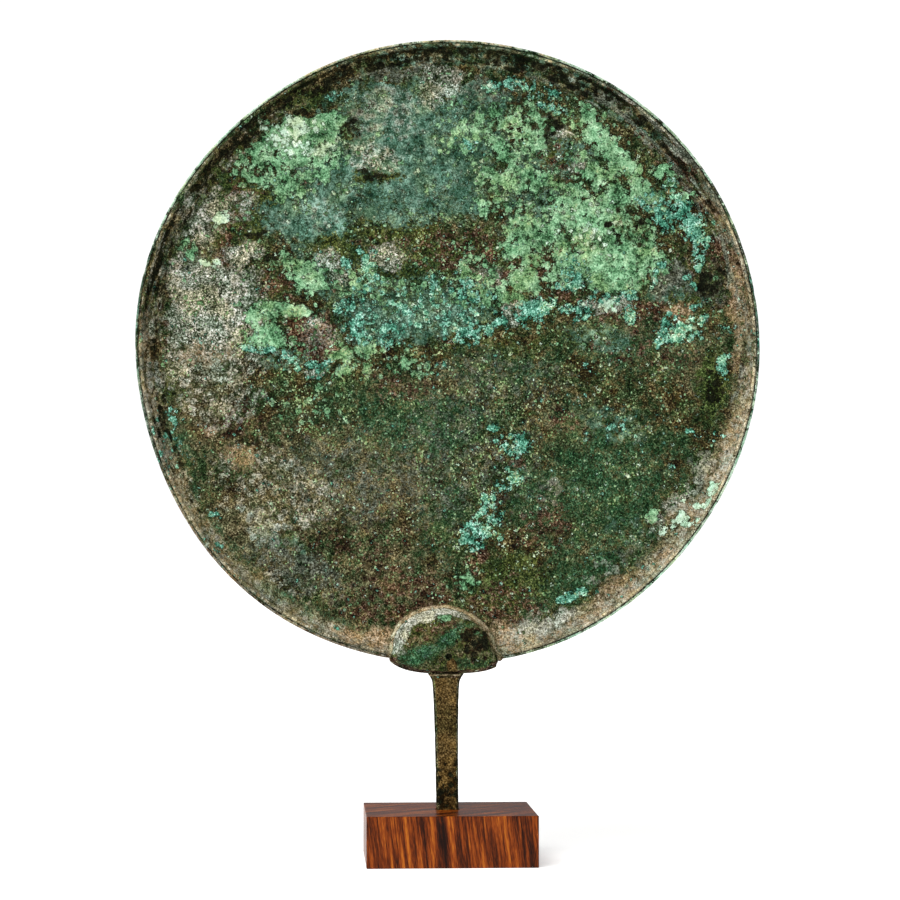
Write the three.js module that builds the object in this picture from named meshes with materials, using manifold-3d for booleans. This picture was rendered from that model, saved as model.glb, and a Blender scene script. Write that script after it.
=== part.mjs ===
// An ancient bronze hand mirror, standing by its tang in a small block of polished wood.
// Millimetres, +Z up. The rimmed face looks towards -Y, and the block's underside is at Z = 0,
// centred on the origin. The mirror is one casting: plate, rim, boss and tang.
import * as THREE from 'three';
import { mergeVertices } from 'three/addons/utils/BufferGeometryUtils.js';
import Module from 'manifold-3d';

const wasm = await Module();
wasm.setup();

// --- driving dimensions ---------------------------------------------------------------------

// The plate: a nearly round disc, thin, with its back bellied out a little.
const DISC_RADIUS = 110;
const DISC_CENTRE_Z = 179;
const PLATE_THICKNESS = 2.4;
const BACK_EDGE = 2.2; // how far the back of the edge lies behind the tang's mid-plane
const BELLY = 1.2; // how much further back the plate's centre is than its edge
const DISC_STEPS = 132;

// Hammering and wear left the disc out of round: each wave has its number of lobes, its height
// and the direction of one of its peaks, in degrees from +X towards +Z.
const DISC_WAVES = [
  { lobes: 2, height: 0.64, peak: 49 },
  { lobes: 3, height: 0.42, peak: 32 },
  { lobes: 4, height: 0.15, peak: -24 },
  { lobes: 5, height: 0.18, peak: 17 },
  { lobes: 6, height: 0.28, peak: -11 },
];

// The rim: a concave wall that rises to a rounded crest, then a fine groove and a low outer lip.
const RIM_HEIGHT = 4.8; // crest above the plate's face
const COVE_START = 100;
const CREST_INNER = 107.7;
const CREST_OUTER = 108.5;
const GROOVE_BOTTOM = 109.0;
const GROOVE_DEPTH = 0.9;
const LIP_TOP = 109.5;
const LIP_BELOW_CREST = 0.5;
const EDGE_CHAMFER = 0.8;
const COVE_STEPS = 5;

// The boss: a cushion-shaped lobe over the foot of the rim, where the tang springs from.
const BOSS_CENTRE = { x: -1.8, z: -105 }; // from the disc's centre
const BOSS_HALF_WIDTH = { left: 18.6, right: 17.7 };
const FLANGE = { left: 2.0, right: 3.7 }; // how much wider the boss is below its middle
const FLANGE_FULL = 0.22; // sine of the turn below the middle at which it has its full width
const BOSS_RISE = 14.5; // centre to the top of its arch
const BOSS_DROP = 8.8; // centre to its lower edge
const BOSS_HEIGHT = 6.4; // its summit, in front of the tang's mid-plane
const BOSS_FALL = 2.0; // how much lower the face is at the lower edge
const BOSS_STEPS = 72;
// How square each quarter of the outline is: 2 is an ellipse, more is boxier.
const BOSS_SQUARENESS = { upperRight: 1.75, upperLeft: 2.1, lowerLeft: 2.5, lowerRight: 3.1 };

// The tang: a flat bar with chamfered edges that flares into a collar under the boss.
const TANG_TOP_Z = 68;
const TANG_WIDTH_TOP = 9.6;
const TANG_WIDTH_FOOT = 7.7;
const TANG_THICKNESS = 4.4;
const TANG_CHAMFER = 0.9;
const TANG_FOOT_X = -0.45; // a little left of the block's middle
const TANG_LEAN = 0.75; // how far its top lies to the left of its foot
const TANG_STEPS = 22;
const COLLAR_Z = 64.4;
const COLLAR_SWELL = 1.9; // added width at the collar
const COLLAR_REACH = 2.2; // height over which the collar fades into the bar

// The block: solid wood with a blind socket for the tang.
const BLOCK = { width: 59, depth: 50, height: 17.7, arris: 0.35 };
const SOCKET_DEPTH = 12;
const SOCKET_GAP = 0.3; // clearance all round the tang and under its foot

// --- shared helpers -------------------------------------------------------------------------

const radians = THREE.MathUtils.degToRad;

// Moves every vertex of a geometry by a function that edits a THREE.Vector3.
function reshape(geometry, edit) {
  const positions = geometry.attributes.position;
  const point = new THREE.Vector3();
  for (let i = 0; i < positions.count; i += 1) {
    point.fromBufferAttribute(positions, i);
    edit(point);
    positions.setXYZ(i, point.x, point.y, point.z);
  }
  return geometry;
}

// A closed geometry as a solid that can be joined and cut.
function toSolid(geometry) {
  geometry.deleteAttribute('normal');
  geometry.deleteAttribute('uv');
  const merged = mergeVertices(geometry, 1e-5);
  return new wasm.Manifold(new wasm.Mesh({
    numProp: 3,
    vertProperties: new Float32Array(merged.attributes.position.array),
    triVerts: new Uint32Array(merged.index.array),
  }));
}

// The solid's faces as a geometry that a mesh can draw.
function toGeometry(solid) {
  const { vertProperties, triVerts } = solid.getMesh();
  const geometry = new THREE.BufferGeometry();
  geometry.setAttribute('position', new THREE.BufferAttribute(vertProperties, 3));
  geometry.setIndex(new THREE.BufferAttribute(triVerts, 1));
  geometry.computeVertexNormals();
  return geometry;
}

// --- the plate and its rim ------------------------------------------------------------------

// How far the plate's back lies in front of the tang's mid-plane (negative: behind it).
function backAt(radius) {
  return -BACK_EDGE - BELLY * (1 - (radius / DISC_RADIUS) ** 2);
}

function floorAt(radius) {
  return backAt(radius) + PLATE_THICKNESS;
}

// The disc's outline, as its radius in a direction given in radians.
function discRadiusAt(angle) {
  return DISC_WAVES.reduce(
    (radius, { lobes, height, peak }) => radius + height * Math.cos(lobes * (angle - radians(peak))),
    DISC_RADIUS,
  );
}

// Half of the disc's section: radius against the distance in front of the tang's mid-plane,
// from the middle of the back, round the edge, to the middle of the face.
function discProfile() {
  const crest = floorAt(DISC_RADIUS) + RIM_HEIGHT;
  const lip = crest - LIP_BELOW_CREST;
  const points = [0, 48, 78, 98, DISC_RADIUS - EDGE_CHAMFER].map((r) => [r, backAt(r)]);
  points.push([DISC_RADIUS, backAt(DISC_RADIUS) + EDGE_CHAMFER]);
  points.push([DISC_RADIUS, lip - 0.5]);
  points.push([LIP_TOP, lip]);
  points.push([GROOVE_BOTTOM, crest - GROOVE_DEPTH]);
  points.push([CREST_OUTER, crest - 0.15]);
  points.push([(CREST_INNER + CREST_OUTER) / 2, crest]);
  for (let step = COVE_STEPS; step >= 0; step -= 1) {
    const turn = (step / COVE_STEPS) * radians(80);
    const foot = floorAt(COVE_START);
    points.push([
      COVE_START + (CREST_INNER - COVE_START) * (Math.sin(turn) / Math.sin(radians(80))),
      foot + (crest - 0.1 - foot) * ((1 - Math.cos(turn)) / (1 - Math.cos(radians(80)))),
    ]);
  }
  points.push([80, floorAt(80)], [50, floorAt(50)], [0, floorAt(0)]);
  return points.map(([r, front]) => new THREE.Vector2(r, front));
}

function makeDisc() {
  const disc = new THREE.LatheGeometry(discProfile(), DISC_STEPS);
  disc.rotateX(Math.PI); // the lathe's axis now points towards the viewer, along -Y
  reshape(disc, (point) => {
    const stretch = discRadiusAt(Math.atan2(point.z, point.x)) / DISC_RADIUS;
    point.set(point.x * stretch, point.y, point.z * stretch + DISC_CENTRE_Z);
  });
  return toSolid(disc);
}

// --- the boss -------------------------------------------------------------------------------

// The boss's outline: four quarters of superellipses round its centre, the lower two flanged.
function bossRadiusAt(angle) {
  const up = Math.sin(angle) >= 0;
  const right = Math.cos(angle) >= 0;
  const side = right ? 'right' : 'left';
  const flange = FLANGE[side] * THREE.MathUtils.smoothstep(-Math.sin(angle), 0, FLANGE_FULL);
  const across = Math.abs(Math.cos(angle)) / (BOSS_HALF_WIDTH[side] + flange);
  const along = Math.abs(Math.sin(angle)) / (up ? BOSS_RISE : BOSS_DROP);
  const squareness = BOSS_SQUARENESS[`${up ? 'upper' : 'lower'}${right ? 'Right' : 'Left'}`];
  return (across ** squareness + along ** squareness) ** (-1 / squareness);
}

// The cushion's section: share of the outline's radius against the distance in front of the
// tang's mid-plane. The wall is steep, the shoulder round and the top gently domed.
function bossProfile() {
  const wallTop = 2.2;
  const dome = [1, 0.985, 0.95, 0.89, 0.8, 0.62, 0.38, 0].map((share) => {
    const swell = (1 - share ** 5) ** 0.55;
    return [share, wallTop + (BOSS_HEIGHT - wallTop) * swell * (1 - 0.08 * share)];
  });
  const back = 0.4 - BACK_EDGE;
  const points = [[0, back], [0.94, back], [1, back + EDGE_CHAMFER], ...dome];
  return points.map(([share, front]) => new THREE.Vector2(share, front));
}

function makeBoss() {
  const boss = new THREE.LatheGeometry(bossProfile(), BOSS_STEPS);
  boss.rotateX(Math.PI);
  reshape(boss, (point) => {
    const share = Math.hypot(point.x, point.z);
    const angle = Math.atan2(point.z, point.x);
    const reach = share * bossRadiusAt(angle);
    const fall = point.y < 0 ? BOSS_FALL * Math.max(0, -Math.sin(angle)) * share : 0;
    point.set(
      BOSS_CENTRE.x + reach * Math.cos(angle),
      point.y + fall,
      DISC_CENTRE_Z + BOSS_CENTRE.z + reach * Math.sin(angle),
    );
  });
  return toSolid(boss);
}

// --- the tang -------------------------------------------------------------------------------

const TANG_FOOT_Z = BLOCK.height - SOCKET_DEPTH + SOCKET_GAP;

// 1 at the collar, fading to 0 below it; above it the bar goes on widening into the boss.
function collarAt(z) {
  const away = (z - COLLAR_Z) / COLLAR_REACH;
  return away > 0 ? 1 + 1.6 * away : 1 / (1 + 3 * away ** 2);
}

function tangCentreAt(z) {
  return TANG_FOOT_X - (TANG_LEAN * (z - TANG_FOOT_Z)) / (TANG_TOP_Z - TANG_FOOT_Z);
}

function tangWidthAt(z) {
  const share = (z - TANG_FOOT_Z) / (TANG_TOP_Z - TANG_FOOT_Z);
  const taper = TANG_WIDTH_FOOT + (TANG_WIDTH_TOP - TANG_WIDTH_FOOT) * share ** 3;
  return taper + COLLAR_SWELL * collarAt(z);
}

function tangThicknessAt(z) {
  return TANG_THICKNESS + 0.5 * Math.min(1, collarAt(z));
}

// The bar's section, one unit wide and one unit thick, with its four edges chamfered.
function tangSection() {
  const cutX = TANG_CHAMFER / TANG_WIDTH_FOOT;
  const cutY = TANG_CHAMFER / TANG_THICKNESS;
  const corners = [[1, -1], [1, 1], [-1, 1], [-1, -1]];
  const points = corners.flatMap(([x, y]) => {
    const side = new THREE.Vector2(x * 0.5, y * (0.5 - cutY));
    const face = new THREE.Vector2(x * (0.5 - cutX), y * 0.5);
    return x * y < 0 ? [face, side] : [side, face];
  });
  return new THREE.Shape(points);
}

function makeTang() {
  const tang = new THREE.ExtrudeGeometry(tangSection(), {
    depth: 1,
    steps: TANG_STEPS,
    bevelEnabled: false,
  });
  reshape(tang, (point) => {
    const share = 1 - (1 - point.z) ** 1.7; // closer sections where the collar curves
    const z = TANG_FOOT_Z + (TANG_TOP_Z - TANG_FOOT_Z) * share;
    point.set(tangCentreAt(z) + point.x * tangWidthAt(z), point.y * tangThicknessAt(z), z);
  });
  return toSolid(tang);
}

// --- the block ------------------------------------------------------------------------------

function makeBlock() {
  const { width, depth, height, arris } = BLOCK;
  const halfWidth = width / 2 - arris;
  const halfDepth = depth / 2 - arris;
  const outline = new THREE.Shape([
    new THREE.Vector2(-halfWidth, -halfDepth),
    new THREE.Vector2(halfWidth, -halfDepth),
    new THREE.Vector2(halfWidth, halfDepth),
    new THREE.Vector2(-halfWidth, halfDepth),
  ]);
  const block = new THREE.ExtrudeGeometry(outline, {
    depth: height - 2 * arris,
    bevelThickness: arris,
    bevelSize: arris,
    bevelSegments: 2,
  });
  block.translate(0, 0, arris);

  const topZ = height + 1; // the cutter stands proud of the block's top
  const bottomZ = height - SOCKET_DEPTH;
  const socket = new THREE.BoxGeometry(
    tangWidthAt(height) + 2 * SOCKET_GAP,
    tangThicknessAt(height) + 2 * SOCKET_GAP,
    topZ - bottomZ,
  );
  socket.translate(tangCentreAt(height), 0, (topZ + bottomZ) / 2);
  return toSolid(block).subtract(toSolid(socket));
}

// --- assembly -------------------------------------------------------------------------------

const bronze = new THREE.MeshStandardMaterial({ color: 0x4d5f4c, roughness: 0.78, metalness: 0.3 });
const rosewood = new THREE.MeshStandardMaterial({ color: 0x6b2e1a, roughness: 0.3, metalness: 0 });

const mirror = new THREE.Mesh(toGeometry(makeDisc().add(makeBoss()).add(makeTang())), bronze);
mirror.name = 'mirror';

const displayBlock = new THREE.Mesh(toGeometry(makeBlock()), rosewood);
displayBlock.name = 'display_block';

const object = new THREE.Group();
object.add(mirror, displayBlock);

export default object;
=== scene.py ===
import math
import bpy
import numpy as np
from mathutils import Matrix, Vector, noise


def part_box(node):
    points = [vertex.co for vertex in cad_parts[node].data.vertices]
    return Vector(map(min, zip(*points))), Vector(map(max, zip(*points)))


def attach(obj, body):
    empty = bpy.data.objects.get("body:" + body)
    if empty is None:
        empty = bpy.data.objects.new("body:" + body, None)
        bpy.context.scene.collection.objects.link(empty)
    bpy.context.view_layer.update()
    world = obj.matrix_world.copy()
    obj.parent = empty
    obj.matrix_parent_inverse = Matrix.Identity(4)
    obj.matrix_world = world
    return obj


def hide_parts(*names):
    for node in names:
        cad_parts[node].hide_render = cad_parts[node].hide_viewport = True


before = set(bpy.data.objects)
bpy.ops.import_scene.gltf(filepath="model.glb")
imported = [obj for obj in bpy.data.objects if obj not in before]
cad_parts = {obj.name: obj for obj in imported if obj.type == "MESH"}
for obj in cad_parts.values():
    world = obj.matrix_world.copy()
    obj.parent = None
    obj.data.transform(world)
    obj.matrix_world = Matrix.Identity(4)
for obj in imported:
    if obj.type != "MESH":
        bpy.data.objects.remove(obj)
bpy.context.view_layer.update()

# ----------------------------------------
# The studio: a pale, matt table top that runs far back, a soft key light high on the left and
# an even pale surround. The camera stands a little left of the mirror and below its middle.
# ----------------------------------------
MM = 0.001
EYE = Vector((-48.5, -908.0, 109.2)) * MM
EYE_TURN = math.radians(3.08)  # to the right of straight ahead
EYE_LIFT = math.radians(2.18)
SENSOR = 36.0
LENS = 103.15
TABLE_SIZE = 60.0
TABLE_GLOW = 0.4  # the table top is lit a little from below
KEY_FROM = Vector((-0.48, -0.58, 0.66))
KEY_STRENGTH = 3.5
KEY_SPREAD = math.radians(60)
SURROUND_LIGHT = 0.33
SURROUND_SEEN = 1.1  # how bright the camera sees it, just past white
KEY_COLOUR = (1.0, 0.985, 0.96)
PAPER_COLOUR = (0.97, 0.97, 0.97, 1)
WHITE = (1.0, 1.0, 1.0, 1)
NEAREST, FARTHEST = 0.05, 200  # what the camera takes in, in metres


def linear(hex_colour):
    """An sRGB hex value as linear red, green, blue and alpha."""
    shares = [int(hex_colour[i:i + 2], 16) / 255 for i in (1, 3, 5)]
    return [s / 12.92 if s <= 0.04045 else ((s + 0.055) / 1.055) ** 2.4 for s in shares] + [1.0]


def add(tree, kind, inputs=None, stops=None, **settings):
    """Adds a node, sets it up, fills or links its inputs, and sets the stops of a colour ramp."""
    made = tree.nodes.new(kind)
    for name, value in settings.items():
        setattr(made, name, value)
    for socket, value in (inputs or {}).items():
        if isinstance(value, bpy.types.NodeSocket):
            tree.links.new(value, made.inputs[socket])
        else:
            made.inputs[socket].default_value = value
    if stops:
        band = made.color_ramp.elements
        while len(band) < len(stops):
            band.new(0.5)
        for element, (place, hex_colour) in zip(band, stops):
            element.position = place
            element.color = linear(hex_colour)
    return made


bpy.ops.object.camera_add(
    location=EYE, rotation=(math.radians(90) + EYE_LIFT, 0, -EYE_TURN)
)
camera = bpy.context.object
camera.data.sensor_width = SENSOR
camera.data.lens = LENS
camera.data.clip_start = NEAREST
camera.data.clip_end = FARTHEST
bpy.context.scene.camera = camera

bpy.ops.object.light_add(type="SUN", rotation=KEY_FROM.to_track_quat("Z", "Y").to_euler())
key = bpy.context.object
key.data.energy = KEY_STRENGTH
key.data.angle = KEY_SPREAD
key.data.color = KEY_COLOUR

bpy.ops.mesh.primitive_plane_add(size=TABLE_SIZE)
table = bpy.context.object
table.name = "table_top"
paper = bpy.data.materials.new("matt_white_paper")
paper.use_nodes = True
paper_shader = paper.node_tree.nodes["Principled BSDF"]
paper_shader.inputs["Base Color"].default_value = PAPER_COLOUR
paper_shader.inputs["Roughness"].default_value = 0.9
paper_shader.inputs["Specular IOR Level"].default_value = 0.0
paper_shader.inputs["Emission Color"].default_value = WHITE
paper_shader.inputs["Emission Strength"].default_value = TABLE_GLOW
table.data.materials.append(paper)

world = bpy.data.worlds.new("surround")
bpy.context.scene.world = world
world.use_nodes = True
air = world.node_tree
to_eye = add(air, "ShaderNodeLightPath").outputs["Is Camera Ray"]
even = add(air, "ShaderNodeMix", {"Factor": to_eye, "A": SURROUND_LIGHT, "B": SURROUND_SEEN})
air.links.new(even.outputs["Result"], air.nodes["Background"].inputs["Strength"])
air.nodes["Background"].inputs["Color"].default_value = WHITE
bpy.context.scene.view_settings.view_transform = "Standard"

# ----------------------------------------
# The casting: one piece of bronze, poured as a thin round plate with a raised rim and a
# cushion-shaped boss at its foot, from which a flat tang runs down into the block. The plate
# is turned from half of its section, and the boss is raised in the turned surface.
# Sizes are in millimetres; places on the disc are counted from its centre, u right and v up,
# and depth is counted towards the viewer from the middle of the tang's thickness.
# ----------------------------------------
DISC_RADIUS = 110.0
PLATE_THICKNESS = 2.4
BACK_EDGE = 2.2
BELLY = 1.2
# Each wave of the uneven outline: its lobes, its height and the direction of one peak.
DISC_WAVES = ((2, 0.64, 49), (3, 0.42, 32), (4, 0.15, -24), (5, 0.18, 17), (6, 0.28, -11))
DISC_STEPS = 512

RIM_HEIGHT = 4.8
COVE_START = 100.0
COVE_TURN = math.radians(80)
COVE_STEPS = 15
CREST_INNER = 107.7
CREST_MIDDLE = 108.1
CREST_OUTER = 108.5
GROOVE_BOTTOM = 109.0
GROOVE_DEPTH = 0.9
GROOVE_SHADE_LINE = 108.95  # where the painted line of shade lies in it
LIP_TOP = 109.5
LIP_BELOW_CREST = 0.5
LIP_DROP = 0.5  # from the lip to where its rounding meets the wall
EDGE_CHAMFER = 0.8

BOSS_CENTRE = (-1.8, -105.0)
BOSS_HALF_WIDTH = (18.6, 17.7)  # to its left and to its right
FLANGE = (2.0, 3.7)  # how much wider the boss is below its middle
FLANGE_FULL = 0.22
BOSS_RISE = 14.5
BOSS_DROP = 8.8
BOSS_HEIGHT = 6.4
BOSS_FALL = 2.0
BOSS_WALL = 2.2
BOSS_FILLET = 0.9  # where it rises out of the plate
BULGE_FILLET = 1.2  # where it hangs over the disc's edge
FINER_HALF_WIDTH = 22.5  # the part of the plate around it that has a finer mesh
FINER_BELOW = -87.5
BEVEL_LEAST = 0.12  # the bevel's width, as a share of the way from the boss's middle to its outline
BEVEL_SWELL = 0.15
BEVEL_SIDE = math.radians(128)
# How square each quarter of the boss's outline is; 2 is an ellipse.
BOSS_SQUARENESS = {(1, 1): 1.75, (1, 0): 2.1, (0, 0): 2.5, (0, 1): 3.1}
CASTING_PIT = (-0.35, -107.7, 0.75, 1.3)  # u, v, radius and depth of a pit in the boss


def disc_radius_at(angle):
    """The disc's radius in a direction, in radians from +u towards +v."""
    waves = (h * np.cos(n * (angle - math.radians(peak))) for n, h, peak in DISC_WAVES)
    return DISC_RADIUS + sum(waves)


def back_at(radius):
    return -BACK_EDGE - BELLY * (1 - (radius / DISC_RADIUS) ** 2)


def floor_at(radius):
    return back_at(radius) + PLATE_THICKNESS


def smooth_step(low, high, value):
    share = np.clip((value - low) / (high - low), 0, 1)
    return share * share * (3 - 2 * share)


def soft_max(a, b, blend):
    """The larger of two heights, with the corner between them filleted."""
    near = np.clip(0.5 + 0.5 * (a - b) / blend, 0, 1)
    return b + (a - b) * near + blend * near * (1 - near)


def boss_radius_at(angle):
    upper = np.sin(angle) >= 0
    right = np.cos(angle) >= 0
    flanged = smooth_step(0, FLANGE_FULL, -np.sin(angle))
    half_width = np.where(right, BOSS_HALF_WIDTH[1], BOSS_HALF_WIDTH[0])
    across = np.abs(np.cos(angle)) / (half_width + np.where(right, FLANGE[1], FLANGE[0]) * flanged)
    along = np.abs(np.sin(angle)) / np.where(upper, BOSS_RISE, BOSS_DROP)
    square = np.zeros_like(across)
    for (is_upper, is_right), power in BOSS_SQUARENESS.items():
        square = np.where((upper == is_upper) & (right == is_right), power, square)
    return (across ** square + along ** square) ** (-1 / square)


def boss_share(u, v):
    """How far out a place lies on the boss, 0 at its middle and 1 at its outline."""
    du, dv = u - BOSS_CENTRE[0], v - BOSS_CENTRE[1]
    angle = np.arctan2(dv, du)
    return np.hypot(du, dv) / boss_radius_at(angle), angle


def boss_height_at(u, v):
    """The boss's surface: a steep wall, a bevel that is widest on the upper left, and a domed top."""
    share, angle = boss_share(u, v)
    inside = np.clip(share, 0, 1)
    bevel = BEVEL_LEAST + BEVEL_SWELL * np.clip(np.cos(angle - BEVEL_SIDE), 0, None)
    swell = -soft_max((inside - 1) / bevel, -1, 0.25) * (1 - 0.1 * inside)
    fall = BOSS_FALL * np.clip(-np.sin(angle), 0, None) * inside
    beyond = np.clip(share - 1, 0, None) * 30
    return BOSS_WALL + (BOSS_HEIGHT - BOSS_WALL) * swell - fall - beyond


def half_section():
    """The plate's section from the middle of its face, round the edge, to the middle of its back."""
    crest = floor_at(DISC_RADIUS) + RIM_HEIGHT
    foot = floor_at(COVE_START)
    rings = [*np.arange(0, 30, 2.0), *np.arange(30, 60, 1.5), *np.arange(60, COVE_START, 1.05)]
    points = [(r, floor_at(r)) for r in rings]
    for step in range(COVE_STEPS + 1):
        turn = COVE_TURN * step / COVE_STEPS
        out = (CREST_INNER - COVE_START) * math.sin(turn) / math.sin(COVE_TURN)
        up = (crest - 0.1 - foot) * (1 - math.cos(turn)) / (1 - math.cos(COVE_TURN))
        points.append((COVE_START + out, foot + up))
    lip = crest - LIP_BELOW_CREST
    groove = crest - GROOVE_DEPTH
    points += [(107.9, crest - 0.02), (CREST_MIDDLE, crest), (108.3, crest - 0.03)]
    points += [(CREST_OUTER, crest - 0.15), (108.75, groove + 0.3), (GROOVE_BOTTOM - 0.1, groove + 0.03)]
    points += [(GROOVE_BOTTOM + 0.05, groove), (GROOVE_BOTTOM + 0.3, groove + 0.15)]
    points += [(LIP_TOP, lip), (109.75, lip - 0.08)]
    back = back_at(DISC_RADIUS)
    wall_top, wall_foot = lip - LIP_DROP, back + EDGE_CHAMFER
    points += [(DISC_RADIUS, wall_top + (wall_foot - wall_top) * k / 5) for k in range(6)]
    points += [(DISC_RADIUS - EDGE_CHAMFER / 2, back + EDGE_CHAMFER * 0.3)]
    points += [(r, back_at(r)) for r in np.arange(DISC_RADIUS - EDGE_CHAMFER, 4, -4.2)]
    return points + [(0, back_at(0))]


disc_low, disc_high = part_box("mirror")
DISC_CENTRE_Z = disc_high.z / MM - float(disc_radius_at(math.pi / 2))
section = half_section()

bpy.ops.object.select_all(action="DESELECT")
bpy.ops.mesh.primitive_plane_add(size=MM)
casting = bpy.context.object
casting.name = "bronze_mirror"
casting.data.name = "bronze_mirror"
bpy.ops.object.mode_set(mode="EDIT")
bpy.ops.mesh.merge(type="CENTER")
bpy.ops.transform.translate(value=(0, -section[0][1] * MM, DISC_CENTRE_Z * MM))
for (r0, front0), (r1, front1) in zip(section, section[1:]):
    bpy.ops.mesh.extrude_region_move(
        TRANSFORM_OT_translate={"value": ((r1 - r0) * MM, (front0 - front1) * MM, 0)}
    )
bpy.ops.mesh.select_all(action="SELECT")
bpy.ops.mesh.spin(
    steps=DISC_STEPS,
    angle=2 * math.pi,
    center=(0, 0, DISC_CENTRE_Z * MM),
    axis=(0, 1, 0),
)
bpy.ops.mesh.select_all(action="SELECT")
bpy.ops.mesh.remove_doubles(threshold=0.001 * MM)
bpy.ops.mesh.normals_make_consistent(inside=False)
bpy.ops.object.mode_set(mode="OBJECT")


def places_of(mesh):
    """Every vertex of a mesh as u, v and depth, in millimetres."""
    flat = np.empty(len(mesh.vertices) * 3, np.float32)
    mesh.vertices.foreach_get("co", flat)
    x, y, z = flat.reshape(-1, 3).T.astype(float) / MM
    return x, z - DISC_CENTRE_Z, -y


def put_places(mesh, u, v, depth):
    flat = np.stack([u, -depth, v + DISC_CENTRE_Z], 1) * MM
    mesh.vertices.foreach_set("co", flat.astype(np.float32).ravel())
    mesh.update()


def select_only(mesh, kind, chosen):
    """Selects the edges or polygons of a mesh for which chosen is true, and nothing else."""
    for elements in (mesh.vertices, mesh.edges, mesh.polygons):
        elements.foreach_set("select", np.zeros(len(elements), bool))
    getattr(mesh, kind).foreach_set("select", chosen)


def face_middles(mesh):
    flat = np.empty(len(mesh.polygons) * 3, np.float32)
    mesh.polygons.foreach_get("center", flat)
    x, y, z = flat.reshape(-1, 3).T.astype(float) / MM
    return x, z - DISC_CENTRE_Z, -y


# The mesh is made three times finer where the boss is raised.
u, v, depth = face_middles(casting.data)
front_faces = depth > back_at(np.hypot(u, v)) + 0.8
near = (np.abs(u - BOSS_CENTRE[0]) < FINER_HALF_WIDTH) & (v < FINER_BELOW)
select_only(casting.data, "polygons", near & front_faces)
bpy.ops.object.mode_set(mode="EDIT")
bpy.ops.mesh.select_mode(type="FACE")
bpy.ops.mesh.subdivide(number_cuts=2)
bpy.ops.object.mode_set(mode="OBJECT")

# The outline takes its waves, and bulges where the boss hangs over the disc's edge.
u, v, depth = places_of(casting.data)
radius, angle = np.hypot(u, v), np.arctan2(v, u)
back = back_at(radius)
frontness = np.clip((depth - back) / PLATE_THICKNESS, 0, 1)
wall = radius > DISC_RADIUS - 0.05
lip_depth = floor_at(DISC_RADIUS) + RIM_HEIGHT - LIP_BELOW_CREST - LIP_DROP
wall_foot = back_at(DISC_RADIUS) + EDGE_CHAMFER
frontness = np.where(wall, np.clip((depth - wall_foot) / (lip_depth - wall_foot), 0, 1), frontness)

turns = np.linspace(-math.pi, 0, 400)
edge_u = BOSS_CENTRE[0] + boss_radius_at(turns) * np.cos(turns)
edge_v = BOSS_CENTRE[1] + boss_radius_at(turns) * np.sin(turns)
edge_angle, edge_radius = np.arctan2(edge_v, edge_u), np.hypot(edge_u, edge_v)
order = np.argsort(edge_angle)
round_radius = disc_radius_at(angle)
boss_reach = np.interp(angle, edge_angle[order], edge_radius[order], left=0, right=0)
bulge = soft_max(boss_reach, round_radius, BULGE_FILLET) - round_radius
bulge = bulge * (boss_reach > 0) * smooth_step(94, DISC_RADIUS, radius)
radius = radius * round_radius / DISC_RADIUS + bulge
u, v = radius * np.cos(angle), radius * np.sin(angle)

# The boss rises out of the plate, and the rim sinks into it.
share, _ = boss_share(u, v)
within = smooth_step(1.12, 0.9, share)
plain = floor_at(radius)
rim = np.where(wall, lip_depth, depth)
surface = rim + (np.minimum(plain, rim) - rim) * within
surface = soft_max(surface, boss_height_at(u, v), BOSS_FILLET)
pit = np.exp(-((u - CASTING_PIT[0]) ** 2 + (v - CASTING_PIT[1]) ** 2) / CASTING_PIT[2] ** 2)
surface = surface - CASTING_PIT[3] * pit
near_boss = (share < 1.6) & (frontness > 0)
foot = np.where(wall, wall_foot, back)
depth = np.where(near_boss, foot + (surface - foot) * frontness, depth)
put_places(casting.data, u, v, depth)

# The tang is drawn up from a chamfered section, then flared and leant, and joined to the plate.
TANG_TOP_Z = 68.0
TANG_WIDTH_TOP = 9.6
TANG_WIDTH_FOOT = 7.7
TANG_THICKNESS = 4.4
TANG_CHAMFER = 0.9
TANG_FOOT_X = -0.45
TANG_LEAN = 0.75
TANG_STEPS = 110
COLLAR_Z = 64.4
COLLAR_SWELL = 1.9
COLLAR_REACH = 2.2
COLLAR_RIDGE = (64.7, 0.35, 0.45)  # height up the tang, half-width and rise of a fine ridge
TANG_FOOT_Z = disc_low.z / MM


def collar_at(z):
    away = (z - COLLAR_Z) / COLLAR_REACH
    return np.where(away > 0, 1 + 1.6 * away, 1 / (1 + 3 * away ** 2))


def tang_centre_at(z):
    return TANG_FOOT_X - TANG_LEAN * (z - TANG_FOOT_Z) / (TANG_TOP_Z - TANG_FOOT_Z)


def tang_width_at(z):
    share = np.clip((z - TANG_FOOT_Z) / (TANG_TOP_Z - TANG_FOOT_Z), 0, 1)
    taper = TANG_WIDTH_FOOT + (TANG_WIDTH_TOP - TANG_WIDTH_FOOT) * share ** 3
    return taper + COLLAR_SWELL * collar_at(z)


def tang_thickness_at(z):
    return TANG_THICKNESS + 0.5 * np.minimum(1, collar_at(z))


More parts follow.
